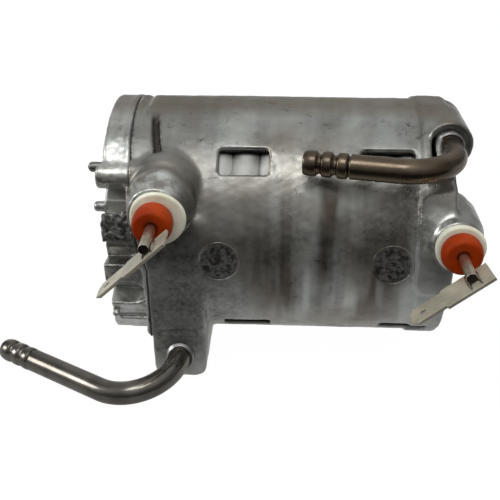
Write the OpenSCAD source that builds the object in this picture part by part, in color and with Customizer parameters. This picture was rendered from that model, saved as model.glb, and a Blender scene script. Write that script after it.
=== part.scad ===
// Flow-through water heater: a die-cast aluminium barrel with a heating coil cast into its wall.
// Water enters at the foot, winds round the core and leaves at the boss on the far end.
// X runs along the barrel away from the end cap, the terminals point to -Y, Z is up.
// The origin is on the barrel's axis, at the outer face of the end cap.

/* [Barrel] */
// Outer radius of the barrel
barrel_r = 32; // [31:0.5:33]
// Distance from the cap's outer face to the far end face
barrel_end = 87.6; // [86:0.2:89]
// Radius of the water chamber
chamber_r = 20; // [18:0.5:20.5]
// Height of each window over the coil
window_h = 7.2; // [6:0.2:9]

/* [End cap] */
// Thickness of the cap at the top
cap_t_top = 7.1; // [6.6:0.1:7.6]
// Thickness of the cap at the foot
cap_t_foot = 11.2; // [10.8:0.1:11.4]
// Radius of the cap's outer edge
cap_edge_r = 0.9; // [0.4:0.1:1.6]
// Thickness of the gasket
gasket_t = 0.3; // [0.2:0.1:0.4]
// Radius of the pins that hold the cap
pin_r = 1.3; // [1:0.1:1.5]

/* [Heating coil] */
// Outer radius of the heater sheath
sheath_r = 3; // [2.8:0.1:3]
// Radius of the coil's centre line
coil_r = 26.1; // [26:0.1:26.2]
// Distance between neighbouring turns
coil_pitch = 6.8; // [6.5:0.1:6.8]

/* [Terminals] */
// Distance of the left terminal from the cap's outer face
left_terminal_x = 15.4; // [15:0.2:16]
// Height of the left terminal
left_terminal_z = 15.1; // [14:0.2:16]
// Distance of the right terminal from the cap's outer face
right_terminal_x = 88.2; // [88:0.2:89]
// Height of the right terminal
right_terminal_z = 6.7; // [6:0.2:8]
// How far the left terminal's boss reaches in front of the axis
left_boss_front = 38; // [36:0.2:38.4]
// How far the right terminal's boss reaches in front of the axis
right_boss_front = 33.6; // [33:0.2:34.6]
// Radius of the cold pins
cold_pin_r = 1.25; // [1:0.05:1.4]
// Width of the tabs' plug-in blades
blade_w = 6.3; // [4.8:0.1:6.3]
// Thickness of the tabs
tab_t = 0.8; // [0.5:0.1:1]

/* [Water tubes] */
// Outer radius of both tubes
tube_r = 3; // [2.5:0.1:3.1]
// Bore radius of both tubes
tube_bore_r = 2.2; // [1.8:0.1:2.3]
// Bend radius of the inlet tube
inlet_bend_r = 13.1; // [11:0.1:15]
// Bend angle of the inlet tube
inlet_bend = 121.3; // [100:0.1:125]
// How far the inlet tube leans down as it leaves the foot
inlet_lean = 10; // [0:1:15]
// How far the inlet tube's bend dips to the left
inlet_roll = 7.4; // [0:0.2:12]
// Bend radius of the outlet tube
outlet_bend_r = 12; // [10:0.5:14]
// Bend angle of the outlet tube
outlet_bend = 101.6; // [90:0.1:102]

/* [Hidden] */
$fn = 72;

// Small overlap that lets neighbouring shapes fuse
eps = 0.4;
// Running gap between pieces that only touch
gap = 0.05;

// Far end of the water chamber
chamber_end = 80;

// Annular space that the coil sits in
coil_wall = 0.1;
ring_in = coil_r - sheath_r - coil_wall;
ring_out = coil_r + sheath_r + coil_wall;
ring_x0 = left_terminal_x - sheath_r - coil_wall - 0.2;
ring_x1 = 82.4;

// Scallops of the cap: angle above the front, width along the rim, where the rounded end stops
scallop_floor = 25.6;
scallops = [[28.2, 6.9, 7.6], [1.8, 6.4, 8.7], [-24, 9.2, 10.3]];

// Course of the joint between cap and barrel: height, distance from the cap's outer face
joint_line = [
    [-40, cap_t_foot + 0.2], [-3, cap_t_foot], [5, cap_t_top + 1.9], [16, cap_t_top + 0.3],
    [22, cap_t_top], [29, cap_t_top - 0.7], [40, cap_t_top - 1.4]];
function joint_x(z) = lookup(z, joint_line);

// Lugs that take the cap pins: angle above the front
pin_angles = [42, 139, 270];
pin_proud = 3.6;
lug_r = 3.9;
lug_centre_r = 30.5;
pin_centre_r = 30.7;
lug_front = 1.3;
lug_end_x = 24;

// Foot that carries the inlet
foot_x1 = 25.8;
foot_front = 31.2;
foot_bottom = -35.4;
foot_root = 8;
foot_corner_r = 3;
foot_chamfer = 1.2;
plate_t = 1;
plate_bottom = -22;
inlet_x = 19;
inlet_z = -28.1;
inlet_seat_depth = 8;

// Passage from the inlet's seat to the joint, where a channel in the cap leads it to the chamber
passage_r = 1.7;
mouth_r = 27;
mouth_angle = -51.6;
mouth_z = mouth_r * sin(mouth_angle);
mouth = [joint_x(mouth_z), -mouth_r * cos(mouth_angle), mouth_z];
passage_start = [inlet_x, -foot_front + inlet_seat_depth, inlet_z + 1.5];

// Outlet boss
outlet_x = 86.9;
outlet_z = 25.9;
outlet_front = 16;
outlet_boss_r = 6;

// Terminal bosses and what sits in them
boss_r = 7.4;
right_boss_r = 6.9;
// The right boss's wide root is cut flat here
right_block_end = right_terminal_x + right_boss_r + 0.4;
tail_bore_r = 4.4;
left_ring_t = 2;
right_ring_t = 2.4;
pin_depth = 1.1;

// Barbs at the end of each tube
barb_pitch = 3.67;
barb_neck_r = tube_r - 0.55;
barbs = 3;
barb_roll = 0.3;
hair = 0.02;

// Turns its children from +Z to +X and moves them to x
module along_x(x) {
    translate([x, 0, 0]) rotate([0, 90, 0]) children();
}

// Turns its children from +Z to -Y, with the base at depth front from the axis plane
module towards_front(x, front, z) {
    translate([x, -front, z]) rotate([90, 0, 0]) children();
}

// Turns its children about the barrel's axis, by an angle above the front
module at_angle(a) {
    rotate([-a, 0, 0]) children();
}

// Rod along -Y from depth y0 to depth y1
module front_rod(x, z, y0, y1, r) {
    towards_front(x, y0, z) cylinder(r = r, h = y1 - y0);
}

// Straight rod between two points
module rod_between(p, q, r) {
    d = q - p;
    flat = sqrt(d[0] * d[0] + d[1] * d[1]);
    translate(p)
        rotate([0, atan2(flat, d[2]), atan2(d[1], d[0])])
            cylinder(r = r, h = norm(d));
}

// Rectangle w by h with rounded corners
module round_rect(w, h, r) {
    translate([-w / 2 + r, -h / 2]) square([w - 2 * r, h]);
    translate([-w / 2, -h / 2 + r]) square([w, h - 2 * r]);
    for (x = [-1, 1], y = [-1, 1])
        translate([x * (w / 2 - r), y * (h / 2 - r)]) circle(r = r, $fn = 32);
}

// Everything to the right of the joint, shifted along the barrel
module right_of_joint(shift) {
    line = [for (j = joint_line) [j[1] + shift, j[0]]];
    last = len(line) - 1;
    far_x = 200;
    translate([0, 80, 0]) rotate([90, 0, 0]) linear_extrude(160)
        polygon(concat(line, [[far_x, line[last][1]], [far_x, line[0][1]]]));
}

// Radial pocket that is open at the cap's outer face and round at its other end
module scallop(a, w, x_end) {
    at_angle(a) {
        translate([-10, -barrel_r - 8, -w / 2])
            cube([x_end - w / 2 + 10, barrel_r + 8 - scallop_floor, w]);
        front_rod(x_end - w / 2, 0, scallop_floor, barrel_r + 8, w / 2);
    }
}

// Rib along the barrel that a cap pin runs into
module pin_lug(a, x0, x1) {
    at_angle(a) translate([0, -lug_centre_r, 0]) along_x(x0) cylinder(r = lug_r, h = x1 - x0, $fn = 48);
}

// Hole or shank of one cap pin
module pin_shank(a, x0, x1, r) {
    at_angle(a) translate([0, -pin_centre_r, 0]) along_x(x0) cylinder(r = r, h = x1 - x0, $fn = 32);
}

// Left edge of the foot's upper stretch, where the cap's plate lies in front of the joint
function plate_left(z) = joint_x(z) - plate_t;

// Left edge below the plate, where only the barrel's casting is left
function bare_left(z) = joint_x(z) + gasket_t + 0.1;

// Outline of the foot from the front, in x and z
module foot_outline() {
    top = left_terminal_z - 6;
    low = foot_bottom + foot_chamfer;
    difference() {
        polygon([
            [bare_left(foot_bottom) + foot_chamfer, foot_bottom],
            [foot_x1, foot_bottom],
            [foot_x1, top],
            [plate_left(top), top],
            [plate_left(5), 5],
            [plate_left(-3), -3],
            [plate_left(plate_bottom), plate_bottom],
            [bare_left(plate_bottom), plate_bottom - plate_t],
            [bare_left(low), low]]);
        translate([foot_x1, foot_bottom]) rotate(90) corner_bite(foot_corner_r);
    }
}

// What a quarter circle leaves of a corner
module corner_bite(r) {
    difference() {
        translate([-1, -1]) square([r + 1, r + 1]);
        translate([r, r]) circle(r = r, $fn = 48);
    }
}

// Flat-fronted block below the left terminal, down to the inlet
module foot_block() {
    towards_front(0, foot_root, 0) linear_extrude(foot_front - foot_root) foot_outline();
}

// One terminal boss with the tapered root that it grows out of
module terminal_boss(x, z, front, r) {
    front_rod(x, z, 24, front, r);
    towards_front(x, 24, z) cylinder(r1 = r + 4.4, r2 = r + 1.6, h = 8.2);
    towards_front(x, 31, z) cylinder(r1 = r + 2.2, r2 = r, h = 2.4);
}

// Window through the outer wall, centred on an angle
module coil_window(a, x0, x1) {
    at_angle(a)
        towards_front((x0 + x1) / 2, coil_r, 0)
            linear_extrude(12) round_rect(x1 - x0, window_h, 1);
}

// Windows: angle above the front, where they start and end along the barrel
upper_spans = [[29.2, 41.8], [64.7, 78]];
lower_spans = [[30.1, 42.5], [72.1, 84.5]];
windows = [
    for (a = [46.6, 133.4], s = upper_spans) [a, s],
    for (a = [-49, 229], s = lower_spans) [a, s]];

// Mark of a mould pin: a shallow flat with a raised edge
mark_r = 5.25;
mark_x = [29.6, 72.9];
mark_edge = 0.4;
module mark_rim(x) {
    difference() {
        front_rod(x, 0, 30, barrel_r + 0.25, mark_r);
        front_rod(x, 0, 29, barrel_r + 1, mark_r - mark_edge);
    }
}

module mark_pocket(x) {
    front_rod(x, 0, barrel_r - 0.5, barrel_r + 2, mark_r - mark_edge);
}

// Low raised field round the right terminal
field_x0 = 78.9;
field_z0 = -7;
field_z1 = 18.4;
module right_field() {
    intersection() {
        along_x(field_x0) cylinder(r = barrel_r + 1.1, h = barrel_end - field_x0);
        towards_front((field_x0 + barrel_end + 6) / 2, 10, (field_z0 + field_z1) / 2)
            linear_extrude(30) round_rect(barrel_end + 6 - field_x0, field_z1 - field_z0, 3.4);
    }
}

// Block past the end face that carries the right terminal
module right_terminal_block() {
    front_rod(right_terminal_x, right_terminal_z, 13, 31, right_boss_r);
    hull() {
        front_rod(right_terminal_x - 1, right_terminal_z, 13, 26, right_boss_r, $fn = 32);
        front_rod(80.5, -4, 10, 27, 6, $fn = 32);
    }
}

// Block past the end face that carries the outlet, with a web to the top of the barrel
module outlet_block() {
    front_rod(outlet_x, outlet_z, -5, outlet_front, outlet_boss_r);
    hull() {
        front_rod(outlet_x, outlet_z, -4, outlet_front - 2.5, outlet_boss_r - 0.5, $fn = 32);
        front_rod(barrel_end - 6, barrel_r - 1.1, -5, 3, 1.3, $fn = 32);
        front_rod(barrel_end - 4, 20, 0, outlet_front - 4, 3, $fn = 32);
    }
}

// Solid shape of the casting before it is cored
module casting_solid() {
    along_x(2) cylinder(r = barrel_r, h = barrel_end - 2, $fn = 120);
    along_x(barrel_end - 7.3) cylinder(r = barrel_r + 0.4, h = 7.3, $fn = 120);
    for (a = pin_angles)
        difference() {
            pin_lug(a, 2, lug_end_x);
            along_x(0) cylinder(r = ring_in, h = 60);
        }
    foot_block();
    terminal_boss(left_terminal_x, left_terminal_z, left_boss_front, boss_r);
    for (x = mark_x) mark_rim(x);
    right_field();
    right_terminal_block();
    intersection() {
        terminal_boss(right_terminal_x, right_terminal_z, right_boss_front, right_boss_r);
        translate([0, -barrel_r - 10, -barrel_r]) cube([right_block_end, barrel_r + 10, 2 * barrel_r]);
    }
    outlet_block();
}

// Chamber, coil space, passages and holes of the casting
module casting_cores() {
    // Water chamber
    along_x(2) cylinder(r = chamber_r, h = chamber_end - 2);
    // Space of the coil, which leaves a wall round the inlet's passage
    difference() {
        along_x(ring_x0) cylinder(r = ring_out, h = ring_x1 - ring_x0, $fn = 120);
        along_x(ring_x0 - 1) cylinder(r = ring_in, h = ring_x1 - ring_x0 + 2, $fn = 120);
        rod_between(passage_start, mouth, passage_r + 1);
    }
    // Passages of the sheath's tails and terminals
    front_rod(left_terminal_x, left_terminal_z, 18, left_boss_front + 1, tail_bore_r);
    front_rod(right_terminal_x, right_terminal_z, 22, right_boss_front + 1, tail_bore_r);
    rod_between([82, -23.4, -9.5], [right_terminal_x, -24.6, right_terminal_z], 5);
    // Windows over the coil
    for (w = windows) coil_window(w[0], w[1][0], w[1][1]);
    for (x = mark_x) mark_pocket(x);
    // Cap pins
    for (a = pin_angles) pin_shank(a, 2, 19, pin_r + gap / 2);
    // Inlet: tube seat in the foot, then a slanting passage to the joint
    inlet_seat(inlet_seat_depth + 1, tube_r + gap / 2);
    rod_between(passage_start, mouth, passage_r);
    // Outlet: tube seat in the boss, then a slanting passage into the chamber
    front_rod(outlet_x, outlet_z, 7.6, outlet_front + 4, tube_r + gap / 2);
    front_rod(outlet_x, outlet_z, -2.5, 9, 1.9);
    rod_between([outlet_x, 0, outlet_z], [77, 0, 16], 1.5);
    // Groove round the outlet's seat
    difference() {
        front_rod(outlet_x, outlet_z, outlet_front - 1.6, outlet_front + 4, outlet_boss_r - 1.1);
        front_rod(outlet_x, outlet_z, outlet_front - 2, outlet_front + 5, tube_r + 0.9);
    }
    // Groove behind the flange of the joint
    intersection() {
        along_x(13.2) rotate_extrude($fn = 96) translate([barrel_r + 0.2, 0]) circle(r = 0.9, $fn = 24);
        translate([0, -21, 24]) cube([40, 42, 20]);
    }
    // Slot pressed into the foot's front
    towards_front(18.4, foot_front - 0.5, -21.3) linear_extrude(3) round_rect(9.8, 1.5, 0.7);
}

// Runs along the inlet tube's first stretch, from inside the foot outwards
module inlet_seat(depth, r) {
    translate([inlet_x, -foot_front, inlet_z])
        rotate([90 + inlet_lean, 0, 0])
            translate([0, 0, -depth]) cylinder(r = r, h = depth + 6);
}

module main_body() {
    color("silver") difference() {
        intersection() {
            casting_solid();
            right_of_joint(gasket_t);
        }
        casting_cores();
    }
}

// Disc of the cap with a rounded outer corner
module cap_disc() {
    inner = barrel_r - cap_edge_r;
    along_x(0) rotate_extrude($fn = 120) {
        square([inner, 14]);
        translate([0, cap_edge_r]) square([barrel_r, 14 - cap_edge_r]);
        translate([inner, cap_edge_r]) circle(r = cap_edge_r, $fn = 32);
    }
}

// Bead at the cap's lowest rim
module rim_bead() {
    at_angle(-60) translate([0, -barrel_r + 2.6, 0]) along_x(-1) cylinder(r = 3.6, h = 15, $fn = 48);
}

// Locating peg cast on the cap's outer face
module cap_peg() {
    translate([0, -22, 10.3]) along_x(-2.7) cylinder(r = pin_r, h = 6, $fn = 32);
}

// Channel in the cap's inner face, from the inlet's passage to the chamber
module cap_channel() {
    at_angle(mouth_angle) translate([6, -mouth_r - 2, -2]) cube([10, mouth_r - chamber_r + 6, 4]);
}

module end_cap() {
    color("silver") difference() {
        union() {
            difference() {
                cap_disc();
                for (s = scallops) scallop(s[0], s[1], s[2]);
            }
            rim_bead();
            foot_block();
            cap_peg();
            for (a = pin_angles) pin_lug(a, -lug_front, 16);
        }
        for (a = pin_angles) pin_shank(a, -5, 20, pin_r + gap / 2);
        cap_channel();
        right_of_joint(0);
    }
}

// Outline that cap and barrel share at the joint
module joint_outline() {
    along_x(2) cylinder(r = barrel_r - 0.3, h = 16, $fn = 120);
    intersection() {
        foot_block();
        translate([0, -foot_front + 0.3, foot_bottom + 0.3]) cube([16, 20, 40]);
    }
}

module cap_gasket() {
    color("dimgray") difference() {
        intersection() {
            joint_outline();
            right_of_joint(0);
        }
        right_of_joint(gasket_t);
        along_x(0) cylinder(r = chamber_r + 0.2, h = 20);
        translate(mouth) along_x(-4) cylinder(r = passage_r + 0.8, h = 12);
        for (a = pin_angles) pin_shank(a, 0, 20, pin_r + 0.2);
    }
}

module cap_pins() {
    color("gainsboro") for (a = pin_angles) pin_shank(a, -pin_proud, 18.8, pin_r);
}

// Core that leaves only a narrow water gap in the chamber
core_r = 15.4;
core_x0 = 14;
core_x1 = chamber_end - 1;
core_stud_x0 = cap_t_foot + 0.1 + gap;
module displacer_core() {
    color("lightgray") {
        along_x(core_x0) cylinder(r = core_r, h = core_x1 - core_x0);
        along_x(core_stud_x0) cylinder(r = 5, h = core_x0 - core_stud_x0 + 1);
    }
}

// Points of a sweep: one ring of n corners of radius r round each station of a path
function unit(v) = v / norm(v);
function along(path, i) = unit(path[min(i + 1, len(path) - 1)] - path[max(i - 1, 0)]);
function ring_points(c, t, r, n) =
    let (side = unit(cross(t, abs(t[0]) > 0.9 ? [0, 0, 1] : [1, 0, 0])), up = cross(side, t))
    [for (k = [0 : n - 1]) c + r * (cos(360 * k / n) * side + sin(360 * k / n) * up)];
function sweep_points(path, r, n) =
    [for (i = [0 : len(path) - 1]) each ring_points(path[i], along(path, i), r, n)];
function side_faces(stations, n, first, flip) =
    [for (i = [0 : stations - 2], k = [0 : n - 1], half = [0, 1])
        let (a = first + i * n + k, b = first + i * n + (k + 1) % n,
             tri = half == 0 ? [a, b, b + n] : [a, b + n, a + n])
        flip ? [tri[2], tri[1], tri[0]] : tri];

// Solid rod swept along a path
module swept_rod(path, r, n) {
    stations = len(path);
    last = (stations - 1) * n;
    polyhedron(
        points = sweep_points(path, r, n),
        faces = concat(
            side_faces(stations, n, 0, false),
            [[for (k = [n - 1 : -1 : 0]) k]],
            [[for (k = [0 : n - 1]) last + k]]),
        convexity = 10);
}

// Tube swept along a path, open at both ends
module swept_tube(path, r_out, r_in, n) {
    stations = len(path);
    inner = stations * n;
    last = (stations - 1) * n;
    polyhedron(
        points = concat(sweep_points(path, r_out, n), sweep_points(path, r_in, n)),
        faces = concat(
            side_faces(stations, n, 0, false),
            side_faces(stations, n, inner, true),
            [for (k = [0 : n - 1], half = [0, 1])
                let (m = (k + 1) % n)
                half == 0 ? [m, k, inner + k] : [m, inner + k, inner + m]],
            [for (k = [0 : n - 1], half = [0, 1])
                let (m = (k + 1) % n)
                half == 0 ? [last + k, last + m, inner + last + m]
                          : [last + k, inner + last + m, inner + last + k]]),
        convexity = 10);
}

// Centre line of the coil: a tail from the left terminal, the turns, a tail to the right terminal
turn_steps = 16;
start_angle = 45;
end_angle = 310 + 360 * 9;
tail_bend_r = (coil_r * sin(start_angle) - left_terminal_z) / (1 - cos(start_angle));
tail_y = coil_r * cos(start_angle) + tail_bend_r * sin(start_angle);
turns_steps = round((end_angle - start_angle) / 360 * turn_steps);
function coil_x(a) = left_terminal_x + coil_pitch * (a - start_angle) / 360;
function coil_point(a) = [coil_x(a), -coil_r * cos(a), coil_r * sin(a)];
function bezier(p, t) =
    pow(1 - t, 3) * p[0] + 3 * pow(1 - t, 2) * t * p[1] + 3 * (1 - t) * t * t * p[2] + t * t * t * p[3];
right_tail = [
    coil_point(end_angle),
    coil_point(end_angle) + 9 * [0.04, -sin(50), sin(40)],
    [right_terminal_x, -21, right_terminal_z],
    [right_terminal_x, -30, right_terminal_z]];
coil_path = concat(
    [[left_terminal_x, -left_boss_front + pin_depth + 0.1, left_terminal_z]],
    [for (k = [0 : 3])
        let (a = start_angle * k / 4)
        [left_terminal_x, -tail_y + tail_bend_r * sin(a), left_terminal_z + tail_bend_r * (1 - cos(a))]],
    [for (k = [0 : turns_steps]) coil_point(start_angle + (end_angle - start_angle) * k / turns_steps)],
    [for (k = [1 : 8]) bezier(right_tail, k / 8)],
    [[right_terminal_x, -right_boss_front + pin_depth + 0.1, right_terminal_z]]);

powder_r = sheath_r - 0.6;
wire_r = 0.6;

module heater_sheath() {
    color("lightsteelblue") swept_tube(coil_path, sheath_r, powder_r, 10);
}

module heater_powder() {
    color("white") swept_tube(coil_path, powder_r - gap, wire_r + gap, 6);
}

module heating_wire() {
    color("goldenrod") swept_rod(coil_path, wire_r, 4);
}

// Wire wound round the core, which makes the water spiral
spiral_turns = 6;
spiral_r = 1.9;
spiral_steps = 18;
spiral_path = [for (k = [0 : spiral_turns * spiral_steps])
    let (a = 360 * k / spiral_steps)
    [core_x0 + 4 + (core_x1 - core_x0 - 8) * k / (spiral_turns * spiral_steps),
     -(core_r + spiral_r + 0.5) * cos(a), (core_r + spiral_r + 0.5) * sin(a)]];
module flow_spiral() {
    color("lightgray") swept_rod(spiral_path, spiral_r, 8);
}

// Terminal parts: how far each ring, plug and pin reaches in front of the axis
left_ring_front = left_boss_front + left_ring_t;
left_plug_front = 46;
left_pin_front = 56;
right_ring_front = right_boss_front + right_ring_t;
right_plug_front = 40.8;
right_pin_front = 50.4;
left_rim_r = 6.6;
right_rim_r = 6.2;
ring_neck_r = tail_bore_r - 0.1;
left_plug_r = 4.8;
right_plug_r = 5;
plug_tail_r = 2.6;

// Ring with a neck that sits in the boss; bore for the plug's tail
module ceramic_ring(x, z, boss, front, rim_r) {
    color("ivory") difference() {
        union() {
            front_rod(x, z, boss - 1, boss + gap, ring_neck_r);
            front_rod(x, z, boss + gap, front, rim_r);
        }
        front_rod(x, z, boss - 4, front + 4, plug_tail_r + gap);
    }
}

// Plug with a tail that runs through the ring and a bore for the pin
module silicone_plug(x, z, boss, ring, front, r) {
    color("orangered") difference() {
        union() {
            front_rod(x, z, boss - 0.8, ring + eps, plug_tail_r);
            front_rod(x, z, ring + gap, front - 1.2, r);
            towards_front(x, front - 1.2, z) cylinder(r1 = r, r2 = r - 1, h = 1.2);
        }
        front_rod(x, z, 20, front + 2, cold_pin_r + gap);
    }
}

module terminal_pin(x, z, boss, front) {
    color("darkgray") front_rod(x, z, boss - pin_depth, front, cold_pin_r);
}

module terminal_pin_left() {
    terminal_pin(left_terminal_x, left_terminal_z, left_boss_front, left_pin_front);
}

module terminal_pin_right() {
    terminal_pin(right_terminal_x, right_terminal_z, right_boss_front, right_pin_front);
}

module ceramic_ring_left() {
    ceramic_ring(left_terminal_x, left_terminal_z, left_boss_front, left_ring_front, left_rim_r);
}

module ceramic_ring_right() {
    ceramic_ring(right_terminal_x, right_terminal_z, right_boss_front, right_ring_front, right_rim_r);
}

module silicone_plug_left() {
    silicone_plug(
        left_terminal_x, left_terminal_z,
        left_boss_front, left_ring_front, left_plug_front, left_plug_r);
}

module silicone_plug_right() {
    silicone_plug(
        right_terminal_x, right_terminal_z,
        right_boss_front, right_ring_front, right_plug_front, right_plug_r);
}

// Spade tab in its own plane: x along the blade, y across it, the pin crosses its wide end
tab_len = 21.2;
tab_w = 8.1;
blade_len = 8.6;
module tab_outline() {
    tip = 1.4;
    difference() {
        union() {
            translate([0, -tab_w / 2]) square([tab_len - blade_len, tab_w]);
            translate([0, -blade_w / 2]) square([tab_len - tip, blade_w]);
            polygon([[tab_len - tip - 0.1, -blade_w / 2], [tab_len - tip, -blade_w / 2],
                     [tab_len, -blade_w / 2 + tip], [tab_len, blade_w / 2 - tip],
                     [tab_len - tip, blade_w / 2], [tab_len - tip - 0.1, blade_w / 2]]);
        }
        translate([tab_len - 3.2, 0]) circle(r = 0.9, $fn = 32);
    }
}

// Tab below a pin: its upper face touches the pin, which crosses it near the wide end
module spade_tab(x, z, centre, turn, lean, pin_from_end) {
    color("tan") translate([x, -centre, z])
        rotate([0, turn, 0]) rotate([0, 0, lean])
            translate([-pin_from_end, 0, cold_pin_r]) linear_extrude(tab_t) tab_outline();
}

module terminal_tab_left() {
    spade_tab(left_terminal_x, left_terminal_z, left_pin_front - 2.1, 138.6, -3.4, 4.8);
}

module terminal_tab_right() {
    spade_tab(right_terminal_x, right_terminal_z, right_pin_front - 1.3, 144.4, -5.4, 4.4);
}

// Tube that runs to the front, bends to the left and ends in barbs
module bent_tube(stub, bend_r, angle, leg) {
    rotate([90, 0, 0]) {
        tube_stretch(stub - hair);
        translate([0, 0, stub - 1]) inner_ring(1.6);
    }
    translate([-bend_r, -stub, 0]) rotate([0, 0, -angle]) {
        rotate_extrude(angle = angle, $fn = 96) translate([bend_r, 0]) tube_section();
        translate([bend_r, 0, 0]) rotate([90, 0, 0]) barbed_leg(leg);
    }
}

module tube_section() {
    difference() {
        circle(r = tube_r, $fn = 48);
        circle(r = tube_bore_r, $fn = 48);
    }
}

// Ring inside the tube's wall that joins the first stretch to the bend
module inner_ring(h) {
    linear_extrude(h) difference() {
        circle(r = tube_r - 0.1, $fn = 48);
        circle(r = tube_bore_r + 0.1, $fn = 48);
    }
}

// Straight stretch of the tube
module tube_stretch(h) {
    linear_extrude(h) tube_section();
}

// Straight leg with rolled barbs at its far end
module barbed_leg(leg) {
    plain = leg - barbs * barb_pitch;
    tube_stretch(plain);
    wall = barb_neck_r - tube_bore_r + barb_roll;
    translate([0, 0, plain]) rotate_extrude($fn = 64) {
        translate([tube_bore_r - barb_roll, -eps]) square([wall, barbs * barb_pitch + eps]);
        for (k = [1 : barbs]) translate([barb_neck_r, k * barb_pitch - 2.2]) barb_profile();
    }
}

// Profile of one rolled barb outside the neck
module barb_profile() {
    rise = tube_r - barb_neck_r;
    polygon([[-0.2, 0], [0, 0], [rise, 0.6], [rise, 1.6], [0, 2.2], [-0.2, 2.2]]);
}

inlet_leg = 35.4;
inlet_stub = inlet_seat_depth + 0.3;
module inlet_tube() {
    color("gray") translate([inlet_x, -foot_front, inlet_z])
        rotate([inlet_lean, 0, 0]) rotate([0, -inlet_roll, 0])
            translate([0, inlet_seat_depth, 0])
                bent_tube(inlet_stub, inlet_bend_r, inlet_bend, inlet_leg);
}

outlet_leg = 22.5;
outlet_seat = 8;
module outlet_tube() {
    color("gray") translate([outlet_x, -outlet_front + outlet_seat, outlet_z])
        bent_tube(outlet_seat + 6.35, outlet_bend_r, outlet_bend, outlet_leg);
}

// Collar pressed round a tube where it leaves the casting
module collar(r, h) {
    rotate([90, 0, 0]) difference() {
        union() {
            cylinder(r = r, h = h - 1);
            translate([0, 0, h - 1]) cylinder(r1 = r, r2 = r - 0.8, h = 1);
        }
        translate([0, 0, -1]) cylinder(r = tube_r + gap, h = h + 2);
    }
}

module inlet_collar() {
    color("gainsboro") translate([inlet_x, -foot_front - 0.9, inlet_z]) rotate([inlet_lean, 0, 0])
        collar(4.1, 1.6);
}

module outlet_collar() {
    color("gainsboro") translate([outlet_x, -outlet_front - gap, outlet_z]) collar(4, 1.2);
}

main_body();
end_cap();
cap_gasket();
cap_pins();
displacer_core();
flow_spiral();
heater_sheath();
heater_powder();
heating_wire();
terminal_pin_left();
terminal_pin_right();
ceramic_ring_left();
ceramic_ring_right();
silicone_plug_left();
silicone_plug_right();
terminal_tab_left();
terminal_tab_right();
inlet_tube();
outlet_tube();
inlet_collar();
outlet_collar();
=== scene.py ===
"""Looks for the flow-through water heater: refined pieces, materials, floor, light and camera."""

import math

import bmesh
import bpy
import numpy as np
from mathutils import Matrix, Vector, noise

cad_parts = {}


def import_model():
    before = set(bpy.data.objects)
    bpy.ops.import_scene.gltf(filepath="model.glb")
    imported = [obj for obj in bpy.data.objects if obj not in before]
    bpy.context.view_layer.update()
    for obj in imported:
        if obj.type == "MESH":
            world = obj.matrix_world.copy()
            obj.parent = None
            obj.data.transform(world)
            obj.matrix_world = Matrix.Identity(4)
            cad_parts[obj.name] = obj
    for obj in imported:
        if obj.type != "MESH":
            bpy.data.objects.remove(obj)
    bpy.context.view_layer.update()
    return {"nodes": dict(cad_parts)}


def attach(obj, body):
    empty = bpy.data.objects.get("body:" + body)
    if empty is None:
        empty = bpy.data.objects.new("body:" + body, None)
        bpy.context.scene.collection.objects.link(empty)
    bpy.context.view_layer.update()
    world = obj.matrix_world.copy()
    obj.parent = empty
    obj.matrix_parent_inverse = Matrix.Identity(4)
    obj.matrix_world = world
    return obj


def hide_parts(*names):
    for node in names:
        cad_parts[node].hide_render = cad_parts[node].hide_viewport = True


MM = 0.001

# Barrel, in millimetres. The frame is the CAD part's own: x along the barrel, y to the back.
BARREL_R = 32.0
BARREL_END = 87.6
FLANGE_PROUD = 0.6
FLANGE_W = 8.0

# Course of the joint between cap and barrel: heights, and distances from the cap's outer face
JOINT_HEIGHTS = (-40.0, -3.0, 5.0, 16.0, 22.0, 29.0, 40.0)
JOINT_XS = (11.4, 11.2, 9.0, 7.4, 7.1, 6.4, 5.7)
GASKET = 0.3

# Short groove beside the left boss. It leans: its x falls as its height rises.
GROOVE_X = 20.7
GROOVE_LEAN = 0.28
GROOVE_R = 1.0
GROOVE_ANGLES = (48.0, 76.0)

# Windows: angle above the front, and where the windows start and end along the barrel
UPPER_SPANS = ((29.2, 41.8), (64.7, 78.0))
LOWER_SPANS = ((30.1, 42.5), (72.1, 84.5))
WINDOWS = ((46.6, UPPER_SPANS), (133.4, UPPER_SPANS), (-49.0, LOWER_SPANS), (229.0, LOWER_SPANS))
WINDOW_H = 7.2

# Cap pins and the lugs that take them: angles above the front. The front lug is slimmer.
PIN_ANGLES = (43.5, 139.0, 270.0)
PIN_CIRCLE = 30.7
PIN_END_R = 1.3
LUG_R = 3.9
LUG_CIRCLE = 30.5
FRONT_LUG_ANGLE = 39.6

# Pockets in the cap's edge: angle above the front, width, where they end along the barrel
SCALLOPS = ((28.2, 6.9, 7.2), (1.8, 6.4, 8.7), (-24.0, 9.2, 10.3))
SCALLOP_FLOOR = 25.6

# Foot that carries the inlet, and the cap's base plate, which covers the foot's end
FOOT_X1 = 25.8
FOOT_FRONT = 31.2
FOOT_TOP = 11.0
FOOT_BOTTOM = -35.4
PLATE_T = 1.0
PLATE_BOTTOM = -22.0

# Terminals: distance along the barrel, height, fronts of boss, ring, plug and pin, radii
LEFT = {
    "x": 15.4, "z": 15.1, "boss": 38.0, "ring": 40.0, "plug": 46.0, "pin": 56.0,
    "plug_r": 4.7, "rim": 6.8}
RIGHT = {
    "x": 88.2, "z": 6.7, "boss": 33.6, "ring": 36.0, "plug": 40.8, "pin": 50.4,
    "plug_r": 4.9, "rim": 6.2}
PIN_R = 1.25
PIN_DEPTH = 1.1

# Push-on blades
TAB_LENGTH = 21.2
TAB_ROOT_W = 8.1
BLADE_W = 6.3
BLADE_LENGTH = 8.6
BLADE_TIP = 1.4
TAB_T = 0.8
BLADE_HOLE_R = 0.9
BLADE_HOLE_FROM_TIP = 3.2

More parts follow.
